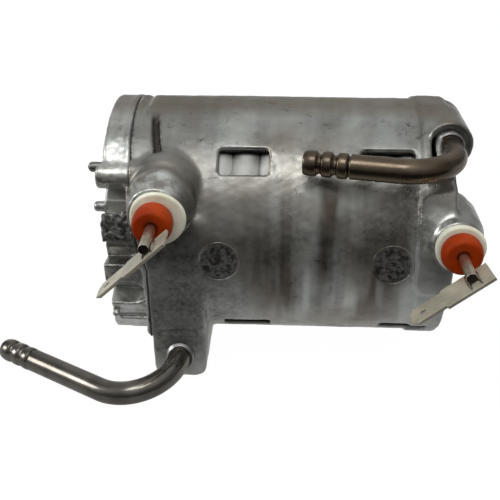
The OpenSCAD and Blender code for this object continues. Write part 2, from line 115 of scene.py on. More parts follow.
# Tubes, with rings rolled into their ends as barbs
TUBE_R = 3.0
BORE_R = 2.2
BARB_PITCH = 3.67
BARBS = 3
BARB_STRETCH = 11.9
INLET = {"x": 19.0, "front": 31.2, "z": -28.1}
OUTLET = {"x": 86.9, "front": 16.0, "z": 25.9}

# Marks that the mould's pins left on the barrel
MARK_R = 5.25
MARK_X = (29.6, 72.9)

# Heating coil
SHEATH_R = 3.0
COIL_R = 26.1
COIL_PITCH = 6.8
COIL_START = 45.0
COIL_END = 310.0 + 360.0 * 9
COIL_GROWTH = 0.5

# Camera, fitted to the photograph: how far it looks down, place in metres, share it looks to the side
VIEW_TILT = math.radians(26.5)
CAMERA_AT = (0.0462, -0.2201, 0.0974)
CAMERA_SIDEWAYS = -0.0412
CAMERA_LENS = 61.2

# Floor, in metres
FLOOR_HALF = 4.0
FLOOR_Z = -0.0368

# Painted places on the castings and the coil, in metres: where each limit starts and ends
CREST_Z = (0.0305, 0.0318)
# The next four bound the painted shade in the short groove
GROOVE_BESIDE = (0.0008, 0.0013)
GROOVE_FROM_Z = (0.0215, 0.0235)
GROOVE_TO_Z = (0.0312, 0.0298)
GROOVE_RADIUS = (0.0324, 0.0321)
# The next three bound the painted shade in the windows and the coil's space
SPACE_RADIUS = (0.031, 0.0316)
SPACE_FROM_X = (0.0262, 0.0268)
SPACE_TO_X = (0.0856, 0.085)
# Height where the painted shadow on the coil's top starts and is full
SHADOW_HEIGHT = (0.0126, 0.0132)

# Light: what reflections see of the table from front to back, of the room, and the even light
TABLE_Y = (-0.3, 0.1)
TABLE_STOPS = ((0.0, 0.02), (0.5, 0.025), (0.72, 0.5), (1.0, 0.55))
ROOM_LEVEL = 0.13
FLOOR_GLOW = 0.95
EVEN_LEVELS = (0.12, 1.32)
LAMP_SIZE = 0.3
LAMP_AIM = (0.046, 0.0, 0.0)

# Soft panels of the room: direction, cosines where it starts and where it is full, brightness
PANELS = (
    ((0.0, -0.42, 0.91), 0.6, 0.98, 0.36),
    ((0.1, 0.75, 0.66), 0.6, 1.0, 0.3),
    ((-0.9, -0.1, 0.4), 0.8, 1.0, 0.4),
    ((-0.43, 0.9, 0.08), 0.965, 0.99, 0.75))


# ---------------- distance fields

def smooth_min(a, b, k):
    """Union of two fields with a fillet of about k."""
    h = np.clip(0.5 + 0.5 * (b - a) / k, 0.0, 1.0)
    return b + (a - b) * h - k * h * (1.0 - h)


def smooth_max(a, b, k):
    """Intersection of two fields with a rounding of about k."""
    return -smooth_min(-a, -b, k)


def cut(a, b, k):
    """Field a with field b taken away."""
    return smooth_max(a, -b, k)


def box_2d(u, v, half_u, half_v, r):
    """Rounded rectangle."""
    du = np.abs(u) - half_u + r
    dv = np.abs(v) - half_v + r
    outside = np.sqrt(np.maximum(du, 0.0) ** 2 + np.maximum(dv, 0.0) ** 2)
    return outside + np.minimum(np.maximum(du, dv), 0.0) - r


def rod(radial, along, r, a0, a1, edge):
    """Capped rod: radial distance from its axis, position along it."""
    return box_2d(radial, along - (a0 + a1) / 2, r, (a1 - a0) / 2, edge)


def from_axis(p):
    """Distance from the barrel's axis."""
    return np.sqrt(p[:, 1] ** 2 + p[:, 2] ** 2)


def above_front(p):
    """Angle above the front, in degrees."""
    return np.degrees(np.arctan2(p[:, 2], -p[:, 1]))


def cos_sin(degrees):
    """Cosine and sine of an angle in degrees."""
    return math.cos(math.radians(degrees)), math.sin(math.radians(degrees))


def turned(p, angle):
    """Depth and height of the points in a frame turned by an angle above the front."""
    c, s = cos_sin(angle)
    front = -p[:, 1] * c + p[:, 2] * s
    side = p[:, 1] * s + p[:, 2] * c
    return front, side


def from_front_axis(p, x, z):
    """Distance from an axis that points to the front."""
    return np.sqrt((p[:, 0] - x) ** 2 + (p[:, 2] - z) ** 2)


def front_rod(p, x, z, y0, y1, r, edge):
    """Rod that points to the front, between two depths."""
    return rod(from_front_axis(p, x, z), -p[:, 1], r, y0, y1, edge)


def lug(p, angle, x0, x1, r=LUG_R, circle=LUG_CIRCLE, edge=0.8):
    """Rib along the barrel at an angle."""
    front, side = turned(p, angle)
    radial = np.sqrt((front - circle) ** 2 + side ** 2)
    return rod(radial, p[:, 0], r, x0, x1, edge)


def joint_distance(p):
    """Distance to the leaning joint, positive on the barrel's side."""
    return p[:, 0] - np.interp(p[:, 2], JOINT_HEIGHTS, JOINT_XS)


def rough(p, size, seed):
    """Smooth noise between about -1 and 1, made of waves, with lumps of a given size."""
    rng = np.random.default_rng(seed)
    total = np.zeros(len(p), dtype=p.dtype)
    waves = 14
    for _ in range(waves):
        d = rng.normal(size=3)
        d = d / np.linalg.norm(d) * (2 * math.pi / size) * rng.uniform(0.6, 1.5)
        total += np.sin(p @ d.astype(p.dtype) + rng.uniform(0, 2 * math.pi))
    return total / math.sqrt(waves)


def foot_field(p):
    """Flat-fronted block that carries the inlet."""
    plate = np.interp(p[:, 2], (PLATE_BOTTOM - 1.5, PLATE_BOTTOM), (GASKET + 0.1, -PLATE_T))
    across = np.maximum(plate - joint_distance(p), p[:, 0] - FOOT_X1)
    deep = np.maximum(-p[:, 1] - FOOT_FRONT, p[:, 1] + 8.0)
    high = np.maximum(FOOT_BOTTOM - p[:, 2], p[:, 2] - FOOT_TOP)
    flat = smooth_max(across, high, 3.4)
    return smooth_max(flat, deep, 1.8)


def barrel_field(p):
    """The barrel with its foot, bosses, windows and marks."""
    r = from_axis(p)
    solid = rod(r, p[:, 0], BARREL_R, 0.0, BARREL_END, 1.0)
    flange = rod(r, p[:, 0], BARREL_R + FLANGE_PROUD, BARREL_END - FLANGE_W, BARREL_END, 0.6)
    solid = smooth_min(solid, flange, 0.5)
    solid = smooth_min(solid, lug(p, FRONT_LUG_ANGLE, 2.0, 19.5, 3.6, 31.0, 2.5), 0.8)
    for a in PIN_ANGLES[1:]:
        solid = smooth_min(solid, lug(p, a, 2.0, 23.5, edge=2.5), 2.6)
    solid = smooth_min(solid, foot_field(p), 2.0)
    dome = front_rod(p, LEFT["x"] + 0.5, LEFT["z"] - 0.3, 8.0, 28.6, 10.3, 4.5)
    solid = smooth_min(solid, dome, 0.9)
    solid = smooth_min(solid, terminal_boss_field(p, LEFT, 6.9, 1.6), 0.6)
    solid = smooth_min(solid, right_end_field(p), 1.4)
    solid = smooth_min(solid, terminal_boss_field(p, RIGHT, 6.1, 0.8), 1.2)
    solid = smooth_min(solid, outlet_boss_field(p), 1.2)
    solid = smooth_max(solid, GASKET - joint_distance(p), 0.35)
    for groove in left_grooves(p, r):
        solid = cut(solid, groove, 0.4)
    for angle, spans in WINDOWS:
        solid = cut(solid, window_field(p, r, angle, spans), 0.5)
    for mark in MARK_X:
        solid = cut(solid, front_rod(p, mark, 0.0, BARREL_R - 0.35, 50.0, MARK_R - 0.3, 0.1), 0.25)
    solid = cut(solid, outlet_groove(p), 0.3)
    solid = cut(solid, foot_slot(p), 0.3)
    return solid + 0.05 * rough(p, 9.0, 3) + 0.02 * rough(p, 2.6, 4)


def left_grooves(p, r):
    """Notch behind the flange of the joint at the crest, and the short groove beside the left boss."""
    angle = above_front(p)
    notch = np.sqrt((p[:, 0] - 9.0) ** 2 + (r - BARREL_R - 0.3) ** 2) - 0.95
    notch = np.where((angle > 74.0) & (angle < 125.0), notch, 1.0)
    low, high = GROOVE_ANGLES
    leaning = p[:, 0] + GROOVE_LEAN * p[:, 2] - GROOVE_X
    groove = np.sqrt(leaning ** 2 + (r - BARREL_R) ** 2) - GROOVE_R
    fade = 1.1 * np.clip((angle - high + 7.0) / 7.0, 0.0, 1.0)
    groove = np.where((angle > low) & (angle < high), groove + fade, 1.0)
    return notch, groove


def outlet_groove(p):
    """Ring-shaped groove round the outlet's seat."""
    radial = from_front_axis(p, OUTLET["x"], OUTLET["z"])
    return np.maximum(np.abs(radial - 4.5) - 0.6, OUTLET["front"] - 1.6 + p[:, 1])


def foot_slot(p):
    """Slot pressed into the foot's front."""
    outline = box_2d(p[:, 0] - 18.4, p[:, 2] + 21.3, 4.9, 0.75, 0.7)
    return np.maximum(outline, FOOT_FRONT - 0.5 + p[:, 1])


def terminal_boss_field(p, spec, r, spread):
    """Round boss that widens a little towards its root."""
    radial = from_front_axis(p, spec["x"], spec["z"])
    depth = -p[:, 1]
    flare = r + spread * np.clip((spec["boss"] - 0.8 - depth) / 5.0, 0.0, 1.0)
    return smooth_max(radial - flare, np.maximum(depth - spec["boss"], 18.0 - depth), 0.8)


def right_end_field(p):
    """Raised field and block that carry the right terminal."""
    field = rod(from_axis(p), p[:, 0], BARREL_R + 1.3, 78.6, BARREL_END, 0.5)
    sector = box_2d(p[:, 0] - 88.7, p[:, 2] - 5.2, 10.1, 13.2, 3.6)
    field = smooth_max(field, np.maximum(sector, p[:, 1] + 10.0), 0.8)
    block = front_rod(p, RIGHT["x"] - 0.3, RIGHT["z"], 13.0, 30.6, 6.7, 2.0)
    root = front_rod(p, 82.5, -1.0, 10.0, 27.5, 5.2, 2.0)
    return smooth_min(smooth_min(field, block, 2.0), root, 4.0)


def outlet_boss_field(p):
    """Boss of the outlet with its slanting web to the top of the barrel."""
    boss = front_rod(p, OUTLET["x"], OUTLET["z"], -5.0, OUTLET["front"], 6.0, 0.7)
    slant = (p[:, 0] - OUTLET["x"]) * 0.64 + (p[:, 2] - OUTLET["z"]) * 0.768 - 4.2
    deep = np.abs(p[:, 1] + 3.5) - 10.0
    sides = np.maximum(81.0 - p[:, 0], p[:, 0] - 91.0)
    ends = np.maximum(sides, OUTLET["z"] - 4.0 - p[:, 2])
    web = smooth_max(slant, deep, 2.0)
    web = smooth_max(web, np.maximum(ends, from_axis(p) - BARREL_R - 0.7), 1.0)
    return smooth_min(boss, web, 0.8)


def window_field(p, r, angle, spans):
    """Two windows at one angle, with the part of the coil's space behind them."""
    front, side = turned(p, angle)
    field = np.full(len(p), 50.0, dtype=p.dtype)
    space = np.maximum(np.abs(r - COIL_R) - SHEATH_R - COIL_GROWTH, np.abs(side) - 9.5)
    space = np.maximum(space, -front)
    for x0, x1 in spans:
        half = (x1 - x0) / 2
        opening = box_2d(p[:, 0] - x0 - half, side, half, WINDOW_H / 2, 1.1)
        opening = np.maximum(opening, COIL_R - front)
        behind = np.maximum(space, np.abs(p[:, 0] - x0 - half) - half - 2.5)
        field = np.minimum(field, np.minimum(opening, behind))
    return field


def cap_field(p):
    """The scalloped end cap with its base plate, lugs, bead and peg."""
    x = p[:, 0]
    r = from_axis(p)
    angle = above_front(p)
    full = rod(r, x, BARREL_R, 0.0, 30.0, 0.9)
    # The front lugs stand a little lower than the rim
    lower = rod(r, x, BARREL_R - 1.7, 0.0, 30.0, 0.9)
    solid = np.where((angle > -40.0) & (angle < 35.0), lower, full)
    for a, width, x_end in SCALLOPS:
        front, side = turned(p, a)
        pocket = box_2d(x - x_end + 20.0, side, 20.0, width / 2, width / 2 - 0.05)
        solid = cut(solid, np.maximum(pocket, SCALLOP_FLOOR - 0.3 * np.abs(side) - front), 0.7)
    front, side = turned(p, -42.0)
    panel = np.maximum(box_2d(x - 6.6, side, 4.8, 2.6, 0.8), 30.6 - front)
    solid = cut(solid, panel, 0.6)
    near_joint = -PLATE_T - joint_distance(p)
    plate = np.maximum(r - BARREL_R + 0.1, near_joint)
    plate = smooth_min(plate, np.maximum(foot_field(p), near_joint), 0.6)
    solid = smooth_min(solid, plate, 0.5)
    solid = smooth_min(solid, lug(p, FRONT_LUG_ANGLE, -1.3, 16.0, 3.1, 29.9), 0.9)
    for a in PIN_ANGLES[1:]:
        solid = smooth_min(solid, lug(p, a, -1.3, 16.0), 1.8)
    solid = smooth_min(solid, lug(p, -60.0, -1.0, 16.0, 3.9, 29.2, 1.2), 1.2)
    peg = np.sqrt((p[:, 1] + 22.0) ** 2 + (p[:, 2] - 10.3) ** 2)
    solid = smooth_min(solid, rod(peg, x, 1.35, -2.9, 0.6, 0.9), 0.5)
    solid = smooth_max(solid, joint_distance(p), 0.35)
    # One lug between two pockets has a much coarser skin
    coarse = np.where((angle > 6.0) & (angle < 24.0) & (r > 27.5), 0.13, 0.03)
    return solid + coarse * rough(p, 2.2, 11) + 0.05 * rough(p, 8.0, 12)


def surface_net(field, low, high, step):
    """Quads on the zero surface of a field, one vertex in every cell that it crosses."""
    axes = [np.arange(low[i], high[i] + step, step, dtype=np.float32) for i in range(3)]
    shape = tuple(len(a) for a in axes)
    values = np.empty(shape, dtype=np.float32)
    yy, zz = np.meshgrid(axes[1], axes[2], indexing="ij")
    for i, x in enumerate(axes[0]):
        pts = np.stack([np.full(yy.size, x, dtype=np.float32), yy.ravel(), zz.ravel()], axis=1)
        values[i] = field(pts).reshape(yy.shape)
    inside = values < 0
    corners = [(i, j, k) for i in (0, 1) for j in (0, 1) for k in (0, 1)]
    counts = np.zeros(tuple(n - 1 for n in shape), dtype=np.int8)
    for i, j, k in corners:
        counts += inside[i:shape[0] - 1 + i, j:shape[1] - 1 + j, k:shape[2] - 1 + k]
    active = (counts > 0) & (counts < 8)
    cells = np.argwhere(active)
    index = np.full(active.shape, -1, dtype=np.int64)
    index[active] = np.arange(len(cells))
    total = np.zeros((len(cells), 3))
    crossings = np.zeros((len(cells), 1))
    for a in corners:
        for axis in range(3):
            if a[axis] == 0:
                b = tuple(1 if n == axis else a[n] for n in range(3))
                va = values[tuple((cells + a).T)]
                vb = values[tuple((cells + b).T)]
                hit = (va < 0) != (vb < 0)
                t = np.where(hit, va / np.where(hit, va - vb, 1.0), 0.0)
                point = np.array(a, dtype=float) + t[:, None] * (np.array(b) - np.array(a))
                total += np.where(hit[:, None], point, 0.0)
                crossings += hit[:, None]
    start = np.array([a[0] for a in axes], dtype=float)
    verts = start + step * (cells + total / crossings)
    return on_surface(field, verts), net_quads(inside, index)


def net_quads(inside, index):
    """One quad round every grid edge that crosses the surface; index holds each cell's vertex."""
    shape = inside.shape
    quads = []
    for axis in range(3):
        u, v = [n for n in range(3) if n != axis]
        if axis == 1:
            u, v = v, u
        first = np.delete(inside, -1, axis=axis)
        second = np.delete(inside, 0, axis=axis)
        edges = np.argwhere(first != second)
        keep = (edges[:, u] > 0) & (edges[:, v] > 0)
        keep &= (edges[:, u] < shape[u] - 1) & (edges[:, v] < shape[v] - 1)
        edges = edges[keep]
        flip = second[tuple(edges.T)]
        ring = []
        for du, dv in ((-1, -1), (0, -1), (0, 0), (-1, 0)):
            cell = edges.copy()
            cell[:, u] += du
            cell[:, v] += dv
            ring.append(index[tuple(cell.T)])
        quad = np.stack(ring, axis=1)
        quad[flip] = quad[flip][:, ::-1]
        quads.append(quad)
    return np.concatenate(quads)


def on_surface(field, verts):
    """Moves the vertices onto the zero surface along the field's slope."""
    nudge = 0.05
    for _ in range(2):
        here = field(verts)
        slope = np.stack([
            field(verts + nudge * np.eye(3)[i]) - field(verts - nudge * np.eye(3)[i])
            for i in range(3)], axis=1) / (2 * nudge)
        steep = np.maximum((slope ** 2).sum(axis=1), 0.2)
        move = -slope * (here / steep)[:, None]
        verts = verts + np.clip(move, -0.3, 0.3)
    return verts


# ---------------- meshes

def add_object(name, mesh, material):
    """Object for a mesh, in the scene and with its material."""
    mesh.materials.append(material)
    obj = bpy.data.objects.new(name, mesh)
    bpy.context.scene.collection.objects.link(obj)
    return obj


def new_piece(name, verts, faces, material):
    """Smooth-shaded object from points in millimetres."""
    mesh = bpy.data.meshes.new(name)
    points = np.asarray(verts, dtype=float) * MM
    mesh.from_pydata([tuple(v) for v in points], [], [tuple(f) for f in faces])
    mesh.validate()
    mesh.polygons.foreach_set("use_smooth", [True] * len(mesh.polygons))
    return add_object(name, mesh, material)


def place(obj, node=None):
    """Puts a piece on the heater's only body, for a CAD node where it stands for one."""
    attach(obj, "root")
    if node:
        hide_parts(node)
    return obj


def lathe(profile, steps, to_world):
    """Turns a profile of (radius, height) points about its axis; to_world places each point."""
    verts = []
    faces = []
    rows = len(profile)
    for i in range(steps):
        a = 2 * math.pi * i / steps
        for radius, height in profile:
            verts.append(to_world(radius * math.cos(a), radius * math.sin(a), height))
    for i in range(steps):
        j = (i + 1) % steps
        for k in range(rows - 1):
            faces.append((i * rows + k, j * rows + k, j * rows + k + 1, i * rows + k + 1))
    return verts, faces


def to_front(x, z, front, lean=0.0):
    """Placement for a lathe whose axis points to the front, or leans down from it by degrees."""
    c, s = cos_sin(lean)

    def placed(u, v, w):
        return (x + u, -front - w * c + v * s, z + v * c - w * s)
    return placed


def rounded(points, radius, steps=5):
    """Profile with its inner corners replaced by arcs."""
    out = [points[0]]
    for before, here, after in zip(points, points[1:], points[2:]):
        p0, p1, p2 = (np.array(q, dtype=float) for q in (before, here, after))
        a = p0 - p1
        b = p2 - p1
        reach = min(radius, 0.48 * np.linalg.norm(a), 0.48 * np.linalg.norm(b))
        a = p1 + a / np.linalg.norm(a) * reach
        b = p1 + b / np.linalg.norm(b) * reach
        for i in range(steps + 1):
            t = i / steps
            out.append(tuple((1 - t) ** 2 * a + 2 * t * (1 - t) * p1 + t * t * b))
    out.append(points[-1])
    return out


def frames_along(path):
    """Two directions across the path at every station, carried along without twist."""
    path = np.asarray(path, dtype=float)
    tangents = np.gradient(path, axis=0)
    tangents /= np.linalg.norm(tangents, axis=1)[:, None]
    side = np.cross(tangents[0], [0.0, 0.0, 1.0])
    if np.linalg.norm(side) < 0.1:
        side = np.cross(tangents[0], [1.0, 0.0, 0.0])
    sides = []
    for t in tangents:
        side = side - t * np.dot(side, t)
        side /= np.linalg.norm(side)
        sides.append(side.copy())
    sides = np.array(sides)
    return path, sides, np.cross(tangents, sides)


def sweep(path, radii, steps):
    """Skin round a path with a radius at every station."""
    path, side, up = frames_along(path)
    verts = []
    for c, s, u, r in zip(path, side, up, radii):
        for k in range(steps):
            a = 2 * math.pi * k / steps
            verts.append(c + r * (math.cos(a) * s + math.sin(a) * u))
    return verts, ring_faces(len(path), steps)


def ring_faces(rings, steps):
    """Faces between the consecutive rings of a skin."""
    faces = []
    for i in range(rings - 1):
        for k in range(steps):
            m = (k + 1) % steps
            faces.append((i * steps + k, i * steps + m, (i + 1) * steps + m, (i + 1) * steps + k))
    return faces


def closed_piece(name, skin, material, node):
    """Closed piece from a skin of points and faces, with its faces turned outwards."""
    obj = new_piece(name, *skin, material)
    bm = bmesh.new()
    bm.from_mesh(obj.data)
    bmesh.ops.recalc_face_normals(bm, faces=bm.faces)
    bm.to_mesh(obj.data)
    bm.free()
    return place(obj, node)


# ---------------- material parts

def new_material(name):
    """Material, its node tree and its main shader."""
    material = bpy.data.materials.new(name)
    material.use_nodes = True
    tree = material.node_tree
    return material, tree, tree.nodes["Principled BSDF"]


def add(tree, kind, **values):
    """Shader node with attributes and unlinked input values set by name."""
    node = tree.nodes.new(kind)
    for key, value in values.items():
        label = key.replace("_", " ")
        if label in node.inputs:
            node.inputs[label].default_value = value
        else:
            setattr(node, key, value)
    return node


def feed(tree, socket, value):
    """Links a socket to an input, or sets a colour or number on it."""
    if isinstance(value, bpy.types.NodeSocket):
        tree.links.new(value, socket)
    elif isinstance(value, tuple):
        socket.default_value = (*value, 1.0)
    else:
        socket.default_value = value


def position(tree, scale=(1.0, 1.0, 1.0)):
    """Object coordinates in metres, stretched."""
    coords = add(tree, "ShaderNodeTexCoord")
    mapping = add(tree, "ShaderNodeMapping", Scale=scale)
    tree.links.new(coords.outputs["Object"], mapping.inputs["Vector"])
    return mapping.outputs["Vector"]


def lumps(tree, scale, detail=4.0, roughness=0.55, stretch=(1.0, 1.0, 1.0), distort=0.0):
    """Noise whose lumps are 1/scale metres across."""
    tex = add(tree, "ShaderNodeTexNoise", Scale=scale, Detail=detail, Roughness=roughness,
              Distortion=distort)
    tree.links.new(position(tree, stretch), tex.inputs["Vector"])
    return tex.outputs["Fac"]


def remap(tree, value, low, high, out_low=0.0, out_high=1.0):
    """Clamped linear change of range."""
    node = add(tree, "ShaderNodeMapRange", From_Min=low, From_Max=high, To_Min=out_low,
               To_Max=out_high)
    tree.links.new(value, node.inputs["Value"])
    return node.outputs["Result"]


def calc(tree, operation, a, b=None):
    """One arithmetic step; a and b are sockets or numbers."""
    node = add(tree, "ShaderNodeMath", operation=operation)
    feed(tree, node.inputs[0], a)
    if b is not None:
        feed(tree, node.inputs[1], b)
    return node.outputs[0]


def times(tree, a, *others):
    """Product of sockets or numbers."""
    for b in others:
        a = calc(tree, "MULTIPLY", a, b)
    return a


def object_axes(tree):
    """Sockets of the object's x, y and z in metres."""
    split = add(tree, "ShaderNodeSeparateXYZ")
    tree.links.new(position(tree), split.inputs[0])
    return split.outputs


def mix(tree, factor, a, b):
    """Blend of two colours; each is a socket or a colour."""
    node = add(tree, "ShaderNodeMix", data_type="RGBA")
    for i, value in ((0, factor), (6, a), (7, b)):
        feed(tree, node.inputs[i], value)
    return node.outputs[2]


def mix_level(tree, factor, a, b):
    """Blend of two levels; each is a socket or a number."""
    node = add(tree, "ShaderNodeMix", data_type="FLOAT")
    for i, value in ((0, factor), (2, a), (3, b)):
        feed(tree, node.inputs[i], value)
    return node.outputs[0]


def mix_shader(tree, factor, a, b):
    """Blend of two shaders."""
    node = add(tree, "ShaderNodeMixShader")
    for i, value in enumerate((factor, a, b)):
        feed(tree, node.inputs[i], value)
    return node.outputs[0]


def bump(tree, height, strength, distance, normal=None):
    """Bump from a height socket, in metres."""
    node = add(tree, "ShaderNodeBump", Strength=strength, Distance=distance)
    tree.links.new(height, node.inputs["Height"])
    if normal is not None:
        tree.links.new(normal, node.inputs["Normal"])
    return node.outputs["Normal"]


def near(tree, centre, reach, soft):
    """1 within the soft share of the reach round a point in millimetres, fading to 0 at the reach."""
    distance = add(tree, "ShaderNodeVectorMath", operation="DISTANCE")
    tree.links.new(position(tree), distance.inputs[0])
    distance.inputs[1].default_value = tuple(c * MM for c in centre)
    return remap(tree, distance.outputs["Value"], reach * soft * MM, reach * MM, 1.0, 0.0)


# ---------------- materials

def cast_aluminium(name, bright, dark, grain, dirt, grime_and_shade_spots, highlights):
    """Mottled die-cast skin: clouds, fine grain, streaks, stains and thin scratches.

    The first list holds (centre in mm, reach in mm, strength) of the darker, rougher places: real
    marks and stains, a darker patch on the foot, and painted shade on the cap's lugs; the second lists
    painted highlights."""
    material, tree, bsdf = new_material(name)
    x, y, z = object_axes(tree)
    radius = calc(tree, "POWER", calc(tree, "ADD", times(tree, y, y), times(tree, z, z)), 0.5)
    clouds = lumps(tree, 55.0, 6.0, 0.62, distort=0.4)
    colour = mix(tree, remap(tree, clouds, 0.38, 0.62), dark, bright)

    # Streaks along the barrel, strongest in its middle
    streak = lumps(tree, 150.0, 2.0, 0.5, (1.0, 0.1, 0.1))
    weak = calc(tree, "ADD", times(tree, near(tree, (57.0, -30.0, 0.0), 26.0, 0.55), 0.8), 0.2)
    deep = times(tree, remap(tree, streak, 0.48, 0.6), weak)
    pale = times(tree, remap(tree, streak, 0.47, 0.38), weak)
    colour = mix(tree, deep, colour, (0.155, 0.132, 0.108))
    colour = mix(tree, pale, colour, tuple(1.3 * c for c in bright))

    # Dark specks where the clouds are dark, and a brown tint
    specks = remap(tree, lumps(tree, 420.0, 5.0, 0.7), 0.58, 0.66)
    stain = times(tree, specks, remap(tree, clouds, 0.52, 0.44, 0.15, 1.0), dirt)
    colour = mix(tree, stain, colour, (0.045, 0.042, 0.04))
    tint = remap(tree, lumps(tree, 38.0, 2.0), 0.46, 0.62, 0.0, 0.5)
    colour = mix(tree, tint, colour, (0.28, 0.235, 0.18))

    # Thin scratches, where a winding noise passes its middle value
    wiry = calc(tree, "SUBTRACT", lumps(tree, 130.0, 3.0, 0.5, distort=1.2), 0.5)
    line = remap(tree, calc(tree, "ABSOLUTE", wiry), 0.0, 0.006, 1.0, 0.0)
    line = times(tree, line, remap(tree, lumps(tree, 60.0, 2.0), 0.53, 0.6))
    colour = mix(tree, times(tree, line, 0.55), colour, (0.05, 0.048, 0.045))

    # Brown crest
    crown = remap(tree, z, *CREST_Z)
    colour = mix(tree, times(tree, crown, 0.6), colour, (0.2, 0.155, 0.1))

    # Painted shade in the short groove
    along = calc(tree, "ADD", x, times(tree, z, GROOVE_LEAN))
    beside = calc(tree, "ABSOLUTE", calc(tree, "SUBTRACT", along, GROOVE_X * MM))
    groove_shade = times(
        tree, remap(tree, beside, *GROOVE_BESIDE, 0.85, 0.0), remap(tree, z, *GROOVE_FROM_Z),
        remap(tree, z, *GROOVE_TO_Z), remap(tree, radius, *GROOVE_RADIUS))
    colour = mix(tree, groove_shade, colour, (0.03, 0.024, 0.016))

    # Painted shade: near-black walls of the windows and of the coil's space
    inside = times(
        tree, remap(tree, radius, *SPACE_RADIUS, 0.95, 0.0), remap(tree, x, *SPACE_FROM_X),
        remap(tree, x, *SPACE_TO_X))
    colour = mix(tree, inside, colour, (0.02, 0.02, 0.02))

    # Painted highlights: bright patches on the tops of the bosses and on the cap
    for centre, reach, strength in highlights:
        highlight_grain = remap(tree, lumps(tree, 240.0, 5.0, 0.65), 0.4, 0.6, 0.15, strength)
        patch = times(tree, near(tree, centre, reach, 0.6), highlight_grain)
        colour = mix(tree, patch, colour, tuple(1.65 * c for c in bright))
    # Darker, rougher places: real mould marks and stains, a darker patch over the foot, and painted
    # shade on the fronts of the cap's lugs
    shade_and_grime_mask = None
    for centre, reach, strength in grime_and_shade_spots:
        patch = times(tree, near(tree, centre, reach, 0.72), strength)
        shade_and_grime_mask = patch if shade_and_grime_mask is None else calc(tree, "MAXIMUM", shade_and_grime_mask, patch)
    pits = remap(tree, lumps(tree, 700.0, 4.0, 0.7), 0.42, 0.6)
    pitted = mix(tree, pits, (0.025, 0.024, 0.023), (0.3, 0.3, 0.29))
    colour = mix(tree, shade_and_grime_mask, colour, pitted)

    tree.links.new(colour, bsdf.inputs["Base Color"])
    bsdf.inputs["Metallic"].default_value = 0.92
    rough_map = remap(tree, lumps(tree, 110.0, 7.0, 0.7), 0.38, 0.62, 0.22, 0.5)
    tree.links.new(rough_map, bsdf.inputs["Roughness"])
    fine = bump(tree, lumps(tree, 900.0, 3.0, 0.6), 0.5, grain * MM)
    coarse = bump(tree, lumps(tree, 170.0, 5.0, 0.6), 0.5, 4.5 * grain * MM, fine)
    cracks = bump(tree, line, 0.4, -0.06 * MM, coarse)
    pocked = bump(tree, times(tree, pits, shade_and_grime_mask), 0.8, 0.12 * MM, cracks)
    tree.links.new(pocked, bsdf.inputs["Normal"])
    return material


def plain_metal(name, colour, rough_low, rough_high, grain=0.02, scale=300.0, metallic=1.0):
    """Worked metal with uneven gloss."""
    material, tree, bsdf = new_material(name)
    patches = lumps(tree, scale * 0.4, 4.0)
    dull = tuple(0.62 * c for c in colour)
    shades = mix(tree, remap(tree, patches, 0.35, 0.68), dull, colour)
    tree.links.new(shades, bsdf.inputs["Base Color"])
    bsdf.inputs["Metallic"].default_value = metallic
    fine = lumps(tree, scale, 4.0, 0.6)
    tree.links.new(remap(tree, fine, 0.3, 0.7, rough_low, rough_high), bsdf.inputs["Roughness"])
    tree.links.new(bump(tree, fine, 0.4, grain * MM), bsdf.inputs["Normal"])
    return material


def coil_metal():
    """Pale sheath of the coil, with a painted shadow towards the top, where the windows' upper walls
    shade it.
    """
    material = plain_metal("coil_steel", (0.93, 0.93, 0.89), 0.6, 0.75, 0.01, metallic=0.45)
    tree = material.node_tree
    bsdf = tree.nodes["Principled BSDF"]
    pale = bsdf.inputs["Base Color"].links[0].from_socket
    _, y, z = object_axes(tree)
    up = times(tree, z, math.cos(VIEW_TILT))
    forward = times(tree, calc(tree, "ABSOLUTE", y), math.sin(VIEW_TILT))
    # Painted shadow of the windows' upper walls, darkening the coil's top
    painted_shadow = remap(tree, calc(tree, "SUBTRACT", up, forward), *SHADOW_HEIGHT, 0.0, 0.97)
    tree.links.new(mix(tree, painted_shadow, pale, (0.02, 0.02, 0.018)), bsdf.inputs["Base Color"])
    return material


def soft_solid(name, colour, shade, roughness, scale, grain, subsurface=0.0, specular=0.5):
    """Ceramic, rubber or plastic with a slight unevenness."""
    material, tree, bsdf = new_material(name)
    patches = remap(tree, lumps(tree, scale, 4.0), 0.35, 0.7)
    tree.links.new(mix(tree, patches, colour, shade), bsdf.inputs["Base Color"])
    bsdf.inputs["Roughness"].default_value = roughness
    bsdf.inputs["Specular IOR Level"].default_value = specular
    bsdf.inputs["Subsurface Weight"].default_value = subsurface
    bsdf.inputs["Subsurface Radius"].default_value = (0.002, 0.0008, 0.0004)
    tree.links.new(bump(tree, lumps(tree, 3 * scale, 3.0), 0.4, grain * MM), bsdf.inputs["Normal"])
    return material


def camera_ray(tree):
    """1 where the camera itself sees a surface, 0 for every other ray."""
    return add(tree, "ShaderNodeLightPath").outputs["Is Camera Ray"]


def ramp(tree, value, stops):
    """Grey level as a function of a value, from (value, level) stops."""
    node = add(tree, "ShaderNodeValToRGB")
    elements = node.color_ramp.elements
    while len(elements) < len(stops):
        elements.new(0.5)
    for element, (at, level) in zip(elements, stops):
        element.position = at
        element.color = (level, level, level, 1.0)
    tree.links.new(value, node.inputs["Fac"])
    return node.outputs["Color"]


def emission(tree, colour, strength):
    """Shader that gives off light of its own."""
    node = add(tree, "ShaderNodeEmission", Strength=strength)
    tree.links.new(colour, node.inputs["Color"])
    return node.outputs[0]


